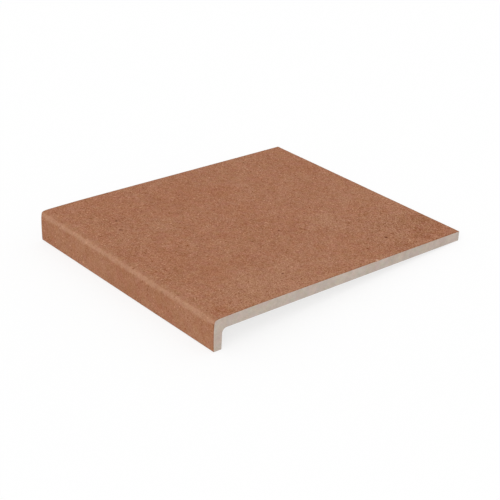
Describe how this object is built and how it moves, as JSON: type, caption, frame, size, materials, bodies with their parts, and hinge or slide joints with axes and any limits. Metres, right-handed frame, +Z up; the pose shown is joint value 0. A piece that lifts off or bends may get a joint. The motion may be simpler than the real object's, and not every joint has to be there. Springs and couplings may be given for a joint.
{
  "type": "stair nosing tile",
  "caption": "L-shaped ceramic stair tread tile with a rounded, turned-down nose, a matt terracotta glaze on tread and nose, and a keyed bare back for bedding on a step.",
  "frame": {"origin": "centre of the bounding box's bottom, on the level floor that the tile lies on", "axes": "+X along the nose, +Y from the nose to the back edge, +Z up. The tile lies unheld on the foot of its nose and its lower back arris, so the tread leans back; turning the row 4.17 degrees about +X levels the tread."},
  "size_m": [0.294, 0.3406, 0.0343],
  "materials": {
    "glazed_tile": "matt terracotta glaze, fine sandy grain and soft mottling; bare grey-beige fired body on the ends, back and underside"
  },
  "bodies": {
    "root": {"stair_nosing_tile": "glazed_tile"}
  },
  "joints": []
}
